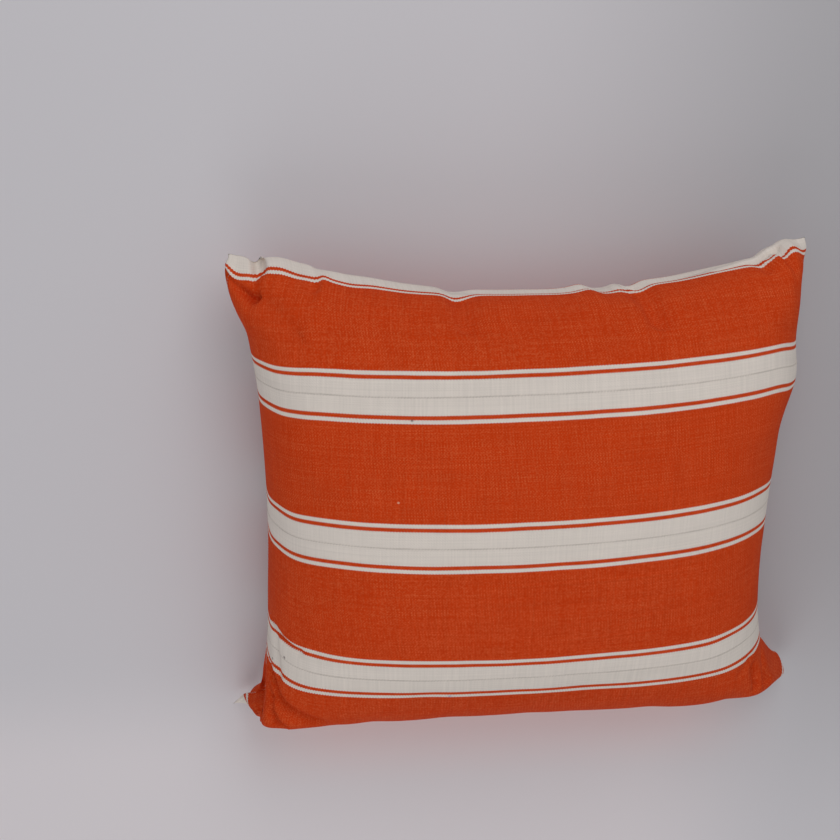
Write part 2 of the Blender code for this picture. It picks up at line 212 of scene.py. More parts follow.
def head_edge_rise(cloth_x, cloth_y):
    """How much further up the face the cloth lies near the fold at the head."""
    gap = HALF_COVER - cloth_y
    fold_rise = smooth_table(HEAD_EDGE, 1, cloth_x)
    edge_rise = smooth_table(HEAD_EDGE, 2, cloth_x)
    near_at_edge = math.exp(-(FIELD_FROM_FOLD / FOLD_REACH) ** 2)
    far_at_edge = math.exp(-(FIELD_FROM_FOLD / EDGE_REACH) ** 2)
    far = (edge_rise - near_at_edge * fold_rise) / (far_at_edge - near_at_edge)
    near = fold_rise - far
    return near * np.exp(-(gap / FOLD_REACH) ** 2) + far * np.exp(-(gap / EDGE_REACH) ** 2)


def cover_shift(cloth_x, cloth_y):
    """How far the head's edge, the pulls and the ears carry each point of the cover."""
    moved = np.zeros(cloth_x.shape + (3,))
    moved[..., 1] = head_edge_rise(cloth_x, cloth_y)
    for pull in PULLS:
        across = (cloth_x - pull["at"][0]) / pull["reach"][0]
        up = (cloth_y - pull["at"][1]) / pull["reach"][1]
        moved += np.exp(-across ** 2 - up ** 2)[..., None] * np.array(pull["shift"])
    for ear in EARS:
        gap_across = np.hypot(cloth_x - ear["across"] * HALF_COVER, EAR_ROUNDING) / ear["reach"]
        gap_up = np.hypot(cloth_y - ear["up"] * HALF_COVER, EAR_ROUNDING) / ear["reach"]
        gap = (gap_across ** EAR_PINCH + gap_up ** EAR_PINCH) ** (1 / EAR_PINCH)
        follow = np.clip(1 - gap ** 2, 0, 1) ** 2
        moved += follow[..., None] * np.array(ear["shift"])
    return moved


lines = COVER_SIDE * cell_shares() - HALF_COVER
cloth_x, face_y = np.meshgrid(lines, lines, indexing="ij")
back_y = np.where(face_y > 0, COVER_SIDE - face_y, -COVER_SIDE - face_y)


def panel_points(crown, direction):
    """One panel's points by cell, with the cloth spread evenly and then carried."""
    raw = raw_panel(crown, direction)
    columns = np.stack([along_thread(column, cell_shares()) for column in raw], axis=0)
    rows = [along_thread(columns[:, j], cell_shares()) for j in range(CELLS + 1)]
    return np.stack(rows, axis=1) + cover_shift(cloth_x, face_y)


face = panel_points(FACE_CROWN, 1)
back = panel_points(BACK_CROWN, -1)

# Set the form where the solid is: both reach equally far to each side
both = np.concatenate([face.reshape(-1, 3), back.reshape(-1, 3)])
form_middle = (both.max(0) + both.min(0)) / 2
solid_middle = (np.array(solid_low) + np.array(solid_high)) / 2
to_solid = np.array([solid_middle[0] - form_middle[0], solid_middle[1] - form_middle[1], 0.0])
face = face + to_solid
back = back + to_solid

# Creases and hollows of the cover
# Where the cloth has nowhere to go, at the ears and along the folds, it is pushed into creases.
# Places are on the flat cover, from its middle; past half its side they lie over a fold, on the back.
# Widths are to the left and right of a crease, seen along its path; depth below nothing is a ridge.
CREASES = [
    {"at": "head left, tuck", "path": [(-0.261, 0.281), (-0.265, 0.300), (-0.270, 0.340)],
     "depth": 0.009, "width": (0.005, 0.008)},
    {"at": "head left, flap edge", "path": [(-0.296, 0.306), (-0.262, 0.304)],
     "depth": -0.003, "width": (0.006, 0.006)},
    {"at": "head left, second ridge", "path": [(-0.240, 0.290), (-0.232, 0.335)],
     "depth": -0.003, "width": (0.016, 0.020)},
    {"at": "head left, end of ridge", "path": [(-0.206, 0.262), (-0.203, 0.300), (-0.200, 0.335)],
     "depth": 0.005, "width": (0.006, 0.010)},
    {"at": "head middle, notch", "path": [(-0.064, 0.226), (-0.070, 0.262), (-0.070, 0.330)],
     "depth": 0.008, "width": (0.010, 0.014)},
    {"at": "head right, dimple", "path": [(0.112, 0.220), (0.102, 0.262), (0.101, 0.320)],
     "depth": 0.010, "width": (0.008, 0.014)},
    {"at": "head right, step", "path": [(0.235, 0.264), (0.237, 0.290), (0.242, 0.325)],
     "depth": 0.003, "width": (0.006, 0.004)},
    {"at": "head right, ear notch", "path": [(0.257, 0.262), (0.260, 0.290), (0.266, 0.325)],
     "depth": 0.002, "width": (0.005, 0.006)},
    {"at": "head right, crease in the band", "path": [(0.195, 0.287), (0.225, 0.289), (0.262, 0.291)],
     "depth": 0.014, "width": (0.003, 0.003)},
    {"at": "upper left, dark crease", "path": [(-0.300, 0.271), (-0.286, 0.268), (-0.266, 0.257)],
     "depth": 0.013, "width": (0.004, 0.008)},
    {"at": "upper left, soft end", "path": [(-0.266, 0.257), (-0.240, 0.238), (-0.220, 0.216)],
     "depth": 0.0055, "width": (0.009, 0.016)},
    {"at": "upper left, small crease", "path": [(-0.206, 0.247), (-0.198, 0.240)],
     "depth": 0.002, "width": (0.004, 0.005)},
    {"at": "foot left, upper valley", "path": [(-0.272, -0.180), (-0.250, -0.196), (-0.200, -0.225)],
     "depth": 0.010, "width": (0.005, 0.010)},
    {"at": "foot left, middle fold", "path": [(-0.276, -0.200), (-0.260, -0.207)],
     "depth": 0.005, "width": (0.004, 0.007)},
    {"at": "foot left, lower valley", "path": [(-0.264, -0.211), (-0.250, -0.222), (-0.234, -0.244)],
     "depth": 0.009, "width": (0.004, 0.008)},
    {"at": "foot left, behind the roll", "path": [(-0.292, -0.243), (-0.274, -0.240), (-0.266, -0.256)],
     "depth": 0.020, "width": (0.005, 0.010)},
    {"at": "foot left, pinched stripes", "path": [(-0.272, -0.121), (-0.250, -0.129), (-0.225, -0.131)],
     "depth": 0.004, "width": (0.004, 0.004)},
    {"at": "foot left, fold in the band", "path": [(-0.262, -0.135), (-0.256, -0.160), (-0.252, -0.176)],
     "depth": 0.003, "width": (0.005, 0.007)},
    {"at": "foot left, long crease", "path": [(-0.226, -0.222), (-0.185, -0.244), (-0.135, -0.256)],
     "depth": 0.002, "width": (0.006, 0.009)},
    {"at": "foot right, tuck", "path": [(0.236, -0.178), (0.222, -0.187)],
     "depth": 0.0025, "width": (0.007, 0.005)},
    {"at": "foot right, ear crease", "path": [(0.244, -0.194), (0.247, -0.210), (0.246, -0.226)],
     "depth": 0.008, "width": (0.006, 0.006)},
    {"at": "foot right, ear root", "path": [(0.276, -0.200), (0.266, -0.222), (0.262, -0.238)],
     "depth": 0.007, "width": (0.007, 0.007)},
]
# A crease has its whole depth where the cushion is this thick, and this share of it in a flat ear
CREASE_NEEDS = 0.060
LEAST_CREASE = 0.35
FOLD_CELLS = 6


def crease_relief(across, up):
    """How far the creases sink the cloth at each point of the cover."""
    sunk = np.zeros(across.shape)
    for crease in CREASES:
        nearest = np.full(across.shape, np.inf)
        side = np.zeros(across.shape)
        for start, end in zip(crease["path"], crease["path"][1:]):
            way_x, way_y = end[0] - start[0], end[1] - start[1]
            off_x, off_y = across - start[0], up - start[1]
            share = np.clip((off_x * way_x + off_y * way_y) / (way_x ** 2 + way_y ** 2), 0, 1)
            gap = np.hypot(off_x - share * way_x, off_y - share * way_y)
            turned = np.sign(way_x * off_y - way_y * off_x)
            side = np.where(gap < nearest, turned, side)
            nearest = np.minimum(gap, nearest)
        width = np.where(side > 0, crease["width"][0], crease["width"][1])
        sunk += crease["depth"] * np.exp(-(nearest / width) ** 2)
    return sunk


def panel_normals(points, direction):
    """Outward normals of one panel."""
    along_x = np.gradient(points, axis=0)
    along_y = np.gradient(points, axis=1)
    normals = direction * np.cross(along_x, along_y)
    return normals / np.maximum(np.linalg.norm(normals, axis=-1, keepdims=True), 1e-12)


def rim_of(count):
    """Which points of a panel with so many lines each way lie on its rim."""
    rim = np.ones((count, count), bool)
    rim[1:-1, 1:-1] = False
    return rim


rim = rim_of(CELLS + 1)


def cover_normals(face, back):
    """Outward normals of both panels, the same where the two meet."""
    face_normals = panel_normals(face, 1)
    back_normals = panel_normals(back, -1)
    shared = face_normals[rim] + back_normals[rim]
    shared /= np.linalg.norm(shared, axis=-1, keepdims=True)
    face_normals[rim] = shared
    back_normals[rim] = shared
    return face_normals, back_normals


thickness = np.linalg.norm(face - back, axis=-1)
filling = np.clip(thickness / CREASE_NEEDS, LEAST_CREASE, 1)
# The two layers meet at the folds, but the filling reaches them there
filling[:, 0] = filling[:, FOLD_CELLS]
filling[:, -1] = filling[:, -1 - FOLD_CELLS]
face_normals, back_normals = cover_normals(face, back)
face = face - face_normals * (crease_relief(cloth_x, face_y) * filling)[..., None]
back = back - back_normals * (crease_relief(cloth_x, back_y) * filling)[..., None]


def closed_mesh(name, face, back, with_cloth_map=True):
    """One closed mesh of both panels, which share the points of the rim."""
    count = face.shape[0]
    face_index = np.arange(count * count).reshape(count, count)
    inside = ~rim_of(count)
    back_index = face_index.copy()
    back_index[inside] = count * count + np.arange(inside.sum())
    points = np.concatenate([face.reshape(-1, 3), back[inside]])

    def corners(grid):
        round_a_cell = [grid[:-1, :-1], grid[1:, :-1], grid[1:, 1:], grid[:-1, 1:]]
        return np.stack(round_a_cell, axis=-1).reshape(-1, 4)

    cells = np.concatenate([corners(face_index), corners(back_index)[:, ::-1]])
    data = bpy.data.meshes.new(name)
    data.from_pydata(points.tolist(), [], cells.tolist())
    if with_cloth_map:
        back_map_y = COVER_SIDE - face_y
        face_map = np.stack([corners(cloth_x), corners(face_y)], axis=-1)
        back_map = np.stack([corners(cloth_x), corners(back_map_y)], axis=-1)[:, ::-1]
        cloth_map = data.uv_layers.new(name="cloth")
        cloth_map.data.foreach_set("uv", np.concatenate([face_map, back_map]).astype(np.float32).ravel())
    data.shade_smooth()
    return data


# Fine folds of the filled cover
# The cover is a little larger than its filling.  The filling presses it outwards while the seams and
# folds hold it, so it lies in fine uneven pulls between them.  The cloth is simulated from a slightly
# smaller form, and of its movement only what is finer than the cushion's own shape is kept.
PRESSED_FRAMES = 20
PRESSED_EVERY = 2
PRESSED_INSET = 0.004
PRESSURE = 4.0
CLOTH_QUALITY = 5
CLOTH_MASS = 0.3
CLOTH_STIFFNESS = 15
CLOTH_SLACK = 0.010
CLOTH_BENDING = 1.5
HELD_THICKNESS = 0.050
# These three are in cells
FOLD_FINENESS = 1.2
SHAPE_COARSENESS = 6.0
LINE_SOFTNESS = 1.0
FOLD_SHARE = 0.6
FOLD_CAP = 0.005


def soften(field, reach):
    """A field over the cover, blurred over a number of cells."""
    span = int(3 * reach) + 1
    weights = np.exp(-(np.arange(-span, span + 1) / reach) ** 2 / 2)
    weights /= weights.sum()
    for axis in (0, 1):
        field = np.moveaxis(field, axis, 0)
        wide = np.pad(field, ((span, span), (0, 0)), mode="reflect")
        field = sum(weight * wide[k:k + field.shape[0]] for k, weight in enumerate(weights))
        field = np.moveaxis(field, 0, axis)
    return field


def on_all_lines(field):
    """A field on some of the cover's lines, filled in between to all of them."""
    known = np.arange(field.shape[0]) * PRESSED_EVERY
    wanted = np.arange(CELLS + 1)
    field = np.stack([np.interp(wanted, known, column) for column in field.T], axis=1)
    field = np.stack([np.interp(wanted, known, row) for row in field], axis=0)
    return soften(field, LINE_SOFTNESS)


def press_cloth(small_face, small_back, hold):
    """Both panels after the filling has pressed them, held where the cover is sewn or folded."""
    inside = ~rim_of(small_face.shape[0])
    data = closed_mesh("pressed_cover", small_face, small_back, with_cloth_map=False)
    pressed = bpy.data.objects.new("pressed_cover", data)
    bpy.context.scene.collection.objects.link(pressed)
    held = pressed.vertex_groups.new(name="held")
    hold_all = np.concatenate([hold.ravel(), hold[inside]]).round(2)
    for share in np.unique(hold_all):
        held.add(np.nonzero(hold_all == share)[0].tolist(), float(share), "REPLACE")
    press = pressed.modifiers.new("press", "CLOTH")
    press.settings.quality = CLOTH_QUALITY
    press.settings.mass = CLOTH_MASS
    press.settings.tension_stiffness = CLOTH_STIFFNESS
    press.settings.compression_stiffness = CLOTH_STIFFNESS
    press.settings.bending_stiffness = CLOTH_BENDING
    press.settings.shrink_min = -CLOTH_SLACK
    press.settings.use_pressure = True
    press.settings.uniform_pressure_force = PRESSURE
    press.settings.effector_weights.gravity = 0.0
    press.settings.vertex_group_mass = "held"
    press.collision_settings.use_collision = False
    for step in range(1, PRESSED_FRAMES + 1):
        bpy.context.scene.frame_set(step)
    result = pressed.evaluated_get(bpy.context.evaluated_depsgraph_get()).data
    places = np.empty(len(result.vertices) * 3)
    result.vertices.foreach_get("co", places)
    places = places.reshape(-1, 3)
    bpy.context.scene.frame_set(1)
    bpy.data.objects.remove(pressed, do_unlink=True)
    face_count = inside.size
    new_face = places[:face_count].reshape(small_face.shape)
    new_back = new_face.copy()
    new_back[inside] = places[face_count:]
    return new_face, new_back


def fine_folds(before, after, normals, hold):
    """How far out the pressed cloth lies in fine folds, without its larger swelling."""
    outward = ((after - before) * normals).sum(-1)
    folds = soften(outward, FOLD_FINENESS) - soften(outward, SHAPE_COARSENESS)
    folds = np.clip(folds * FOLD_SHARE, -FOLD_CAP, FOLD_CAP) * (1 - hold)
    return on_all_lines(folds)


some = slice(None, None, PRESSED_EVERY)
inset = (PRESSED_INSET * filling)[..., None]
small_face = (face - face_normals * inset)[some, some]
small_back = (back - back_normals * inset)[some, some]
gap = np.linalg.norm(small_face - small_back, axis=-1)
hold = np.maximum(np.exp(-(gap / HELD_THICKNESS) ** 2), rim[some, some])
new_face, new_back = press_cloth(small_face, small_back, hold)
face_folds = fine_folds(small_face, new_face, face_normals[some, some], hold)
back_folds = fine_folds(small_back, new_back, back_normals[some, some], hold)
face_folds[rim] = 0.0
back_folds[rim] = 0.0
face = face + face_normals * face_folds[..., None]
back = back + back_normals * back_folds[..., None]


def rest_on_floor(points):
    """Flatten what would sink below the floor, with a small rounding where contact begins."""
    height = points[..., 2]
    rounded = (height + CONTACT_ROUNDING) ** 2 / (4 * CONTACT_ROUNDING)
    lifted = np.where(height < CONTACT_ROUNDING, rounded, height)
    points[..., 2] = np.where(height < -CONTACT_ROUNDING, 0.0, lifted)
    return points


face = rest_on_floor(face)
back = rest_on_floor(back)

cover = bpy.data.objects.new("striped_cover", closed_mesh("striped_cover", face, back))
bpy.context.scene.collection.objects.link(cover)


# Finish of the cover
# Thick cotton in a plain weave whose warp, along X, hides the weft, so it shows fine ribs along Y.
# The stripes are warp threads dyed orange or left off-white, and their edges are toothed because
# neighbouring threads come up by turns.
OFF_WHITE = (0.77, 0.69, 0.62, 1.0)
ORANGE = (0.585, 0.042, 0.0030, 1.0)
PALE_ORANGE = (0.74, 0.135, 0.042, 1.0)
HALF_WHITE_BAND = 0.0175
THIN_STRIPE = 0.004
PICK_PITCH = 0.00135
THREAD_PITCH = 0.0006
ROW_PITCH = 5 * THREAD_PITCH
TOOTH = 0.00045
SOFT_EDGE = 0.0003
STRIPE_WANDER = 0.0020
RIB_LEAN = 0.12
RIB_WANDER = 0.012
# How much lighter or darker threads, ribs, patches and whole strips are
THREAD_TONE = 0.24
RIB_TONE = 0.20
PATCH_TONE = 0.12
STRIP_TONE = 0.05
# How dark the painted shade in each join is, all along and in patches, and where beside a join that shade
# ends
JOIN_SHADE = 0.06
JOIN_PATCHES = 0.16
JOIN_EDGE = (0.0002, 0.0009)
# How pale the orange threads look: all over, by painted highlights on the ribs and crowns, and by fibres,
# streaks and slubs
PALE_ALL_OVER = 0.15
RIB_HIGHLIGHT = 0.10
CROWN_HIGHLIGHT = 0.20
PALE_LEAST_PATCH = 0.35
PALE_SPECKLE = 1.3
PALE_STREAK = 0.55
PALE_RIB_STREAK = 0.6
PALE_SLUB = 0.6
# Relief, in metres
RIB_RELIEF = 0.00010
CROWN_RELIEF = 0.00008
RIB_GRAIN = 0.00016
THREAD_GRAIN = 0.00012
GROOVE_RELIEF = 0.00025
GROOVE_HALF_WIDTH = 0.0014
COTTON_ROUGHNESS = 0.86
ROUGHNESS_PATCHES = 0.10
COTTON_SPECULAR = 0.08


class Wire:
    """A number in a material, so that shader maths can be written as a plain expression."""

    def __init__(self, finish, socket):
        self.finish = finish
        self.socket = socket

    def math(self, operation, *others):
        inputs = dict(enumerate((self,) + others))
        return self.finish.node("ShaderNodeMath", {"operation": operation}, inputs)

    def __add__(self, other):
        return self.math("ADD", other)

    def __sub__(self, other):
        return self.math("SUBTRACT", other)

    def __rsub__(self, other):
        return self.math("MULTIPLY_ADD", -1.0, other)

    def __mul__(self, other):
        return self.math("MULTIPLY", other)

    def __truediv__(self, other):
        return self.math("DIVIDE", other)

    def __abs__(self):
        return self.math("ABSOLUTE")

    __radd__ = __add__
    __rmul__ = __mul__

    def floor(self):
        return self.math("FLOOR")

    def wave(self, pitch):
        """A sine from -1 to 1 that repeats at the given pitch."""
        return (self * (2 * math.pi / pitch)).math("SINE")

    def rise(self, start, end):
        """A smooth step from 0 at start to 1 at end."""
        inputs = {"Value": self, "From Min": start, "From Max": end}
        return self.finish.node("ShaderNodeMapRange", {"interpolation_type": "SMOOTHSTEP"}, inputs)


class Finish:
    """A material, and one way to add any node to it."""

    def __init__(self, name):
        self.material = bpy.data.materials.new(name)
        self.material.use_nodes = True
        self.tree = self.material.node_tree
        self.shader = self.tree.nodes["Principled BSDF"]

    def join(self, value, socket):
        if isinstance(value, Wire):
            self.tree.links.new(value.socket, socket)
        else:
            socket.default_value = value

    def node(self, kind, settings, inputs, output=0):
        made = self.tree.nodes.new(kind)
        for name, value in settings.items():
            setattr(made, name, value)
        for name, value in inputs.items():
            self.join(value, made.inputs[name])
        return Wire(self, made.outputs[output])

    def mix(self, factor, first, second):
        """A colour between two others, by the numbers of the mix's sockets for colours."""
        return self.node("ShaderNodeMix", {"data_type": "RGBA"}, {0: factor, 6: first, 7: second}, 2)

    def place(self, x, y, z=0.0):
        return self.node("ShaderNodeCombineXYZ", {}, {"X": x, "Y": y, "Z": z})

    def noise(self, place, detail=2.0, roughness=0.5):
        """Soft noise from about 0.2 to 0.8, one unit of place to a grain."""
        inputs = {"Vector": place, "Scale": 1.0, "Detail": detail, "Roughness": roughness}
        return self.node("ShaderNodeTexNoise", {}, inputs)


cotton = Finish("striped_cotton")
cloth = cotton.node("ShaderNodeUVMap", {"uv_map": "cloth"}, {})
across = cotton.node("ShaderNodeSeparateXYZ", {}, {"Vector": cloth}, "X")
up = cotton.node("ShaderNodeSeparateXYZ", {}, {"Vector": cloth}, "Y")
strip = (up / STRIP_WIDTH).floor()


def cloth_noise(grains_across, grains_up, seed, detail=2.0, roughness=0.5):
    """Noise with so many grains to a metre each way on the flat cloth, and others in each strip."""
    place = cotton.place(across * grains_across, up * grains_up, strip * seed)
    return cotton.noise(place, detail, roughness)


# Stripes, by distance from the nearest join between strips
wander = (cloth_noise(14, 20, 3.7) - 0.5) * STRIPE_WANDER
tooth = across.wave(2 * PICK_PITCH) * TOOTH
strips_up = (up + wander) / STRIP_WIDTH
from_join = abs(strips_up - (strips_up + 0.5).floor()) * STRIP_WIDTH
edge_place = from_join + tooth
line_start = HALF_WHITE_BAND
line_end = line_start + THIN_STRIPE
field_start = line_end + THIN_STRIPE
in_line = edge_place.rise(line_start - SOFT_EDGE, line_start + SOFT_EDGE)
past_line = edge_place.rise(line_end - SOFT_EDGE, line_end + SOFT_EDGE)
in_field = edge_place.rise(field_start - SOFT_EDGE, field_start + SOFT_EDGE)
dyed = in_line - past_line + in_field

# Threads: each one a little lighter or darker along its length, ribs likewise
thread_tone = cloth_noise(5, 900, 5.3, 3.0, 0.7) - 0.5
rib_tone = cloth_noise(520, 9, 2.1, 2.0, 0.6) - 0.5
patch_tone = cloth_noise(22, 30, 1.9, 3.0, 0.55) - 0.5
strip_tone = cotton.node("ShaderNodeTexWhiteNoise", {"noise_dimensions": "1D"}, {"W": strip + 0.5}) - 0.5
tone = 1.0 + thread_tone * THREAD_TONE + rib_tone * RIB_TONE + patch_tone * PATCH_TONE
tone = tone + strip_tone * STRIP_TONE
# Painted shade in the groove of each join, all along and in patches
patchy_join = cotton.noise(cotton.place(across * 40, strip * 3.3), 2.0, 0.6).rise(0.35, 0.60)
in_join = 1.0 - from_join.rise(*JOIN_EDGE)
tone_and_join_shade = tone * (1.0 - (JOIN_SHADE + patchy_join * JOIN_PATCHES) * in_join)

# Orange threads look paler where ribs and crowns catch the light, and in fibres, streaks and slubs
rib_wander = cloth_noise(9, 9, 4.4) * RIB_WANDER
ribs_seen = (across + up * RIB_LEAN + rib_wander).wave(2 * PICK_PITCH)
alternate = up.wave(ROW_PITCH)
# Painted highlights along the ribs and on the crowns of the threads
painted_rib_light = ribs_seen * RIB_HIGHLIGHT + ribs_seen * alternate * CROWN_HIGHLIGHT
patchy = cloth_noise(30, 38, 8.3, 2.0, 0.6).rise(0.35, 0.65)
speckle = cloth_noise(560, 640, 7.7, 1.0, 0.5) - 0.5
streak = cloth_noise(16, 520, 2.9, 2.0, 0.6) - 0.5
rib_streak = cloth_noise(480, 24, 6.1, 2.0, 0.6) - 0.5
thread_row = (up / THREAD_PITCH).floor()
slub_row = cotton.noise(cotton.place(across * 6, thread_row * 3.1, 4.0), 1.0).rise(0.60, 0.70)
slub_dots = across.wave(2 * PICK_PITCH).rise(0.1, 0.9)
slub = slub_row * slub_dots * in_field
paler = PALE_ALL_OVER + painted_rib_light * (PALE_LEAST_PATCH + patchy) + speckle * PALE_SPECKLE
paler = paler + streak * PALE_STREAK + rib_streak * PALE_RIB_STREAK + slub * PALE_SLUB
orange = cotton.mix(paler.math("MAXIMUM", 0.0), ORANGE, PALE_ORANGE)
stripe_colour = cotton.mix(dyed, OFF_WHITE, orange)

# Flecks of leaf and dark or pale fibre, spun in by chance
FLECKS = [
    {"at": (-0.114, 0.128), "size": 0.0014, "strength": 0.75, "colour": (0.10, 0.03, 0.02, 1.0)},
    {"at": (-0.245, -0.148), "size": 0.0015, "strength": 0.75, "colour": (0.06, 0.03, 0.03, 1.0)},
    {"at": (-0.267, -0.164), "size": 0.0016, "strength": 0.60, "colour": (0.12, 0.09, 0.08, 1.0)},
    {"at": (-0.125, 0.047), "size": 0.0012, "strength": 0.70, "colour": (0.80, 0.45, 0.30, 1.0)},
    {"at": (-0.077, -0.174), "size": 0.0016, "strength": 0.60, "colour": (0.28, 0.27, 0.46, 1.0)},
]
FLECK_CORE = 0.4
FLECK_EDGE = 1.3
for fleck in FLECKS:
    off_across = across - fleck["at"][0]
    off_up = up - fleck["at"][1]
    away = (off_across * off_across + off_up * off_up).math("SQRT")
    near = 1.0 - away.rise(fleck["size"] * FLECK_CORE, fleck["size"] * FLECK_EDGE)
    stripe_colour = cotton.mix(near * fleck["strength"], stripe_colour, fleck["colour"])
scaled = {0: stripe_colour, "Scale": tone_and_join_shade}
toned = cotton.node("ShaderNodeVectorMath", {"operation": "SCALE"}, scaled)
cotton.join(toned, cotton.shader.inputs["Base Color"])
cotton.join(COTTON_ROUGHNESS + patch_tone * ROUGHNESS_PATCHES, cotton.shader.inputs["Roughness"])

# Relief: ribs of the weft, crowns of the threads, and the groove of each join
ribs = abs(across.wave(2 * PICK_PITCH)) * RIB_RELIEF
crowns = ribs_seen * alternate * CROWN_RELIEF
grain = rib_tone * RIB_GRAIN + thread_tone * THREAD_GRAIN
groove = from_join.rise(0.0, GROOVE_HALF_WIDTH) * GROOVE_RELIEF
height = ribs + crowns + grain + groove
relief = cotton.node("ShaderNodeBump", {}, {"Strength": 1.0, "Distance": 1.0, "Height": height})
cotton.join(relief, cotton.shader.inputs["Normal"])
cotton.shader.inputs["Specular IOR Level"].default_value = COTTON_SPECULAR
cover.data.materials.append(cotton.material)

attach(cover, "root")
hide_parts("cushion")

# Stitches
# The strips are whipped together edge to edge by hand, and so are the two sides of the cover, with
# the same undyed cotton thread: short slanting stitches that sink into the join.
STITCH_PITCH = 0.0031
STITCH_LENGTH = 0.0021
STITCH_RADIUS = 0.00022
STITCH_SLANT = 0.9
STITCH_UNEVENNESS = 0.25
STITCH_SEED = 7
STITCH_STEPS = 3
STITCH_SIDES = 5
PRESSED_STITCH = 3 * STITCH_RADIUS
THREAD_COLOUR = (0.60, 0.54, 0.48, 1.0)
JOINS = (-STRIP_WIDTH, 0.0, STRIP_WIDTH)
# Cells at each end of a join and of a side seam that no stitch shows in
JOIN_ENDS = 4
SEAM_ENDS = 16


def join_line(points, normals, place):
    """Points and outward directions along a join of one panel, at a height on the flat cover."""
    spot = np.interp(place, lines, np.arange(CELLS + 1))
    low = int(spot)
    share = spot - low
    line = points[:, low] * (1 - share) + points[:, low + 1] * share
    outward = normals[:, low] * (1 - share) + normals[:, low + 1] * share
    return line[JOIN_ENDS:-JOIN_ENDS], outward[JOIN_ENDS:-JOIN_ENDS]


seams = [join_line(face, face_normals, place) for place in JOINS]
seams += [join_line(back, back_normals, place) for place in JOINS]
sewn = slice(SEAM_ENDS, -SEAM_ENDS)
seams += [(face[edge, sewn], face_normals[edge, sewn]) for edge in (0, -1)]
seam_points = np.concatenate([line for line, outward in seams])
seam_outward = np.concatenate([outward for line, outward in seams])
# Under the cushion the floor presses the thread into the join
seam_points[:, 2] = np.maximum(seam_points[:, 2], PRESSED_STITCH)
seam_edges = []
seam_start = 0
for line, outward in seams:
    seam_edges += [(seam_start + k, seam_start + k + 1) for k in range(len(line) - 1)]
    seam_start += len(line)
seam_data = bpy.data.meshes.new("seam_lines")
seam_data.from_pydata(seam_points.tolist(), seam_edges, [])
outward_attribute = seam_data.attributes.new("outward", "FLOAT_VECTOR", "POINT")
outward_attribute.data.foreach_set("vector", seam_outward.astype(np.float32).ravel())


def stitch_nodes():
    """Nodes that set one slanting stitch after another along every line they are given."""
    tree = bpy.data.node_groups.new("whip_stitches", "GeometryNodeTree")
    tree.is_modifier = True
    tree.interface.new_socket("Geometry", in_out="OUTPUT", socket_type="NodeSocketGeometry")
    tree.interface.new_socket("Geometry", in_out="INPUT", socket_type="NodeSocketGeometry")
    for name in ("Pitch", "Length", "Radius", "Slant"):
        tree.interface.new_socket(name, in_out="INPUT", socket_type="NodeSocketFloat")
    tree.interface.new_socket("Seed", in_out="INPUT", socket_type="NodeSocketInt")
    tree.interface.new_socket("Thread", in_out="INPUT", socket_type="NodeSocketMaterial")

    def node(kind, inputs=None, **settings):
        made = tree.nodes.new(kind)
        for name, value in settings.items():
            setattr(made, name, value)
        for name, value in (inputs or {}).items():
            if isinstance(value, bpy.types.NodeSocket):
                tree.links.new(value, made.inputs[name])
            else:
                made.inputs[name].default_value = value
        return made.outputs

    given = node("NodeGroupInput")
    lines_of_seams = node("GeometryNodeMeshToCurve", {"Mesh": given["Geometry"]})["Curve"]
    spaced = node("GeometryNodeResampleCurve",
                  {"Curve": lines_of_seams, "Length": given["Pitch"]}, mode="LENGTH")
    half = node("ShaderNodeMath", {0: given["Length"], 1: 0.5}, operation="MULTIPLY")["Value"]
    other_half = node("ShaderNodeMath", {0: given["Length"], 1: -0.5}, operation="MULTIPLY")["Value"]
    start = node("ShaderNodeCombineXYZ", {"X": other_half})["Vector"]
    end = node("ShaderNodeCombineXYZ", {"X": half})["Vector"]
    top = node("ShaderNodeCombineXYZ", {"Z": given["Radius"]})["Vector"]
    arch = node("GeometryNodeCurveQuadraticBezier",
                {"Resolution": STITCH_STEPS, "Start": start, "Middle": top, "End": end})
    ring = node("GeometryNodeCurvePrimitiveCircle",
                {"Resolution": STITCH_SIDES, "Radius": given["Radius"]})["Curve"]
    stitch = node("GeometryNodeCurveToMesh",
                  {"Curve": arch["Curve"], "Profile Curve": ring, "Fill Caps": True})
    tangent = node("GeometryNodeInputTangent")["Tangent"]
    along = node("FunctionNodeAlignRotationToVector", {"Vector": tangent}, axis="X")["Rotation"]
    outward = node("GeometryNodeInputNamedAttribute", {"Name": "outward"},
                   data_type="FLOAT_VECTOR")["Attribute"]
    raised = node("FunctionNodeAlignRotationToVector", {"Rotation": along, "Vector": outward},
                  axis="Z", pivot_axis="X")["Rotation"]
    uneven = node("FunctionNodeRandomValue",
                  {2: -STITCH_UNEVENNESS, 3: STITCH_UNEVENNESS, "Seed": given["Seed"]},
                  data_type="FLOAT")[1]
    angle = node("ShaderNodeMath", {0: given["Slant"], 1: uneven}, operation="ADD")["Value"]
    turn = node("FunctionNodeAxisAngleToRotation", {"Axis": (0.0, 0.0, 1.0), "Angle": angle})["Rotation"]
    turned = node("FunctionNodeRotateRotation", {"Rotation": raised, "Rotate By": turn},
                  rotation_space="LOCAL")
    placed = node("GeometryNodeInstanceOnPoints",
                  {"Points": spaced["Curve"], "Instance": stitch["Mesh"], "Rotation": turned["Rotation"]})
    solid = node("GeometryNodeRealizeInstances", {"Geometry": placed["Instances"]})["Geometry"]
    finished = node("GeometryNodeSetMaterial", {"Geometry": solid, "Material": given["Thread"]})["Geometry"]
    node("NodeGroupOutput", {"Geometry": finished})
    return tree


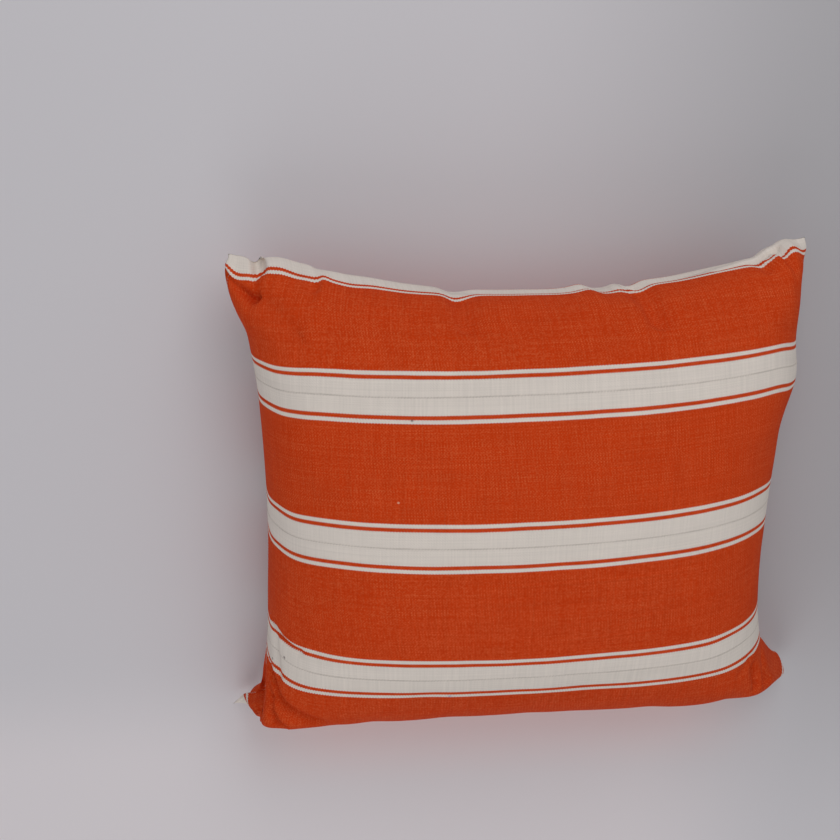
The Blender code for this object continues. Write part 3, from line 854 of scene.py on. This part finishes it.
thread = Finish("cotton_thread")
thread.shader.inputs["Base Color"].default_value = THREAD_COLOUR
thread.shader.inputs["Roughness"].default_value = 0.9
thread.shader.inputs["Specular IOR Level"].default_value = 0.2
stitching = bpy.data.objects.new("stitches", seam_data)
bpy.context.scene.collection.objects.link(stitching)
whip = stitching.modifiers.new("whip", "NODES")
whip.node_group = stitch_nodes()
whip_values = {"Pitch": STITCH_PITCH, "Length": STITCH_LENGTH, "Radius": STITCH_RADIUS,
               "Slant": STITCH_SLANT, "Seed": STITCH_SEED, "Thread": thread.material}
for socket in whip.node_group.interface.items_tree:
    if socket.in_out == "INPUT" and socket.name in whip_values:
        whip[socket.identifier] = whip_values[socket.name]
evaluated = stitching.evaluated_get(bpy.context.evaluated_depsgraph_get())
stitch_mesh = bpy.data.meshes.new_from_object(evaluated)
stitching.modifiers.remove(whip)
stitching.data = stitch_mesh
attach(stitching, "root")

# Floor
# One plain pale sheet of paper, matt, that the cushion lies on.  Painted shade darkens it a little at the
# upper right, painted light makes it a little lighter before the foot, and a painted warm glow there stands
# in for light thrown back by the orange cloth.
FLOOR_HALF = 3.0
FLOOR_GREY = (0.665, 0.640, 0.665, 1.0)
FLOOR_PAINTED_SHADE = (0.455, 0.440, 0.455, 1.0)
FLOOR_PAINTED_LIGHT = (0.765, 0.715, 0.735, 1.0)
FLOOR_PAINTED_GLOW = (0.860, 0.690, 0.690, 1.0)
# Where on the sheet the painted shade, the painted light and the painted warm glow each begin and are
# whole: across to the right, up, and down
SHADE_ACROSS = (-0.05, 0.42)
SHADE_UP = (-0.55, -0.08)
PAINTED_LIGHT_DOWN = (0.20, 0.34)
PAINTED_LIGHT_ENDS_ACROSS = (0.12, 0.34)
PAINTED_GLOW_DOWN = (0.22, 0.27)
PAINTED_GLOW_ENDS_DOWN = (0.28, 0.38)
PAINTED_GLOW_ACROSS = (-0.34, -0.18)
PAINTED_GLOW_ENDS_ACROSS = (0.16, 0.32)
floor_data = bpy.data.meshes.new("floor")
floor_corners = [(x * FLOOR_HALF, y * FLOOR_HALF, 0.0) for x, y in ((-1, -1), (1, -1), (1, 1), (-1, 1))]
floor_data.from_pydata(floor_corners, [], [(0, 1, 2, 3)])
floor = bpy.data.objects.new("floor", floor_data)
bpy.context.scene.collection.objects.link(floor)
paper = Finish("pale_paper")
sheet = paper.node("ShaderNodeTexCoord", {}, {}, "Object")
sheet_x = paper.node("ShaderNodeSeparateXYZ", {}, {"Vector": sheet}, "X")
sheet_y = paper.node("ShaderNodeSeparateXYZ", {}, {"Vector": sheet}, "Y")
down = -1.0 * sheet_y
# Painted shade at the upper right of the sheet
painted_shade = sheet_x.rise(*SHADE_ACROSS) * sheet_y.rise(*SHADE_UP)
# Painted light before the foot
painted_front_light = down.rise(*PAINTED_LIGHT_DOWN) * (1.0 - sheet_x.rise(*PAINTED_LIGHT_ENDS_ACROSS))
# A painted warm glow just before the foot, standing in for light thrown back by the orange cloth
painted_glow = down.rise(*PAINTED_GLOW_DOWN) * (1.0 - down.rise(*PAINTED_GLOW_ENDS_DOWN))
painted_glow = painted_glow * sheet_x.rise(*PAINTED_GLOW_ACROSS) * (1.0 - sheet_x.rise(*PAINTED_GLOW_ENDS_ACROSS))
paper_with_painted_light = paper.mix(painted_front_light, paper.mix(painted_shade, FLOOR_GREY, FLOOR_PAINTED_SHADE), FLOOR_PAINTED_LIGHT)
paper_with_painted_light = paper.mix(painted_glow, paper_with_painted_light, FLOOR_PAINTED_GLOW)
paper.join(paper_with_painted_light, paper.shader.inputs["Base Color"])
paper.shader.inputs["Specular IOR Level"].default_value = 0.2
paper.shader.inputs["Roughness"].default_value = 0.7
floor_data.materials.append(paper.material)

# Light
# Large soft lamps in a pale room: the main one beyond the head of the cushion, a weaker one beyond
# its foot, and a faint one at its left.
LAMPS = [
    {"name": "head_lamp", "place": (0.30, 1.70, 1.90), "size": 1.6, "power": 19.5},
    {"name": "foot_lamp", "place": (-0.5, -1.7, 1.5), "size": 1.5, "power": 8.8},
    {"name": "left_lamp", "place": (-1.9, 0.2, 1.5), "size": 1.4, "power": 1.5},
]
LAMP_AIM = Vector((0.0, 0.0, 0.1))
ROOM_COLOUR = (0.95, 0.97, 1.0, 1.0)
ROOM_STRENGTH = 0.41
for lamp in LAMPS:
    light = bpy.data.lights.new(lamp["name"], "AREA")
    light.shape = "SQUARE"
    light.size = lamp["size"]
    light.energy = lamp["power"]
    holder = bpy.data.objects.new(lamp["name"], light)
    holder.location = lamp["place"]
    aim = LAMP_AIM - Vector(lamp["place"])
    holder.rotation_euler = aim.to_track_quat("-Z", "Y").to_euler()
    bpy.context.scene.collection.objects.link(holder)
world = bpy.data.worlds.new("studio")
world.use_nodes = True
room = world.node_tree.nodes["Background"]
room.inputs["Color"].default_value = ROOM_COLOUR
room.inputs["Strength"].default_value = ROOM_STRENGTH
bpy.context.scene.world = world
# Strong colours are shown as they are, as the soft curve that is usual here would make them paler
bpy.context.scene.view_settings.view_transform = "Standard"

# Camera
# It looks down at the face from the head end, as a person standing over the cushion would.
CAMERA_PLACE = Vector((-0.3262, 0.6523, 1.9471))
CAMERA_AIM = Vector((-0.1051, 0.0663, 0.0441))
CAMERA_LENS = 83.4
CAMERA_SENSOR = 36.0
camera = bpy.data.objects.new("camera", bpy.data.cameras.new("camera"))
camera.data.lens = CAMERA_LENS
camera.data.sensor_width = CAMERA_SENSOR
backwards = (CAMERA_PLACE - CAMERA_AIM).normalized()
rightwards = Vector((0.0, 1.0, 0.0)).cross(backwards).normalized()
upwards = backwards.cross(rightwards)
turn = Matrix((rightwards, upwards, backwards)).transposed()
camera.matrix_world = Matrix.Translation(CAMERA_PLACE) @ turn.to_4x4()
bpy.context.scene.collection.objects.link(camera)
bpy.context.scene.camera = camera
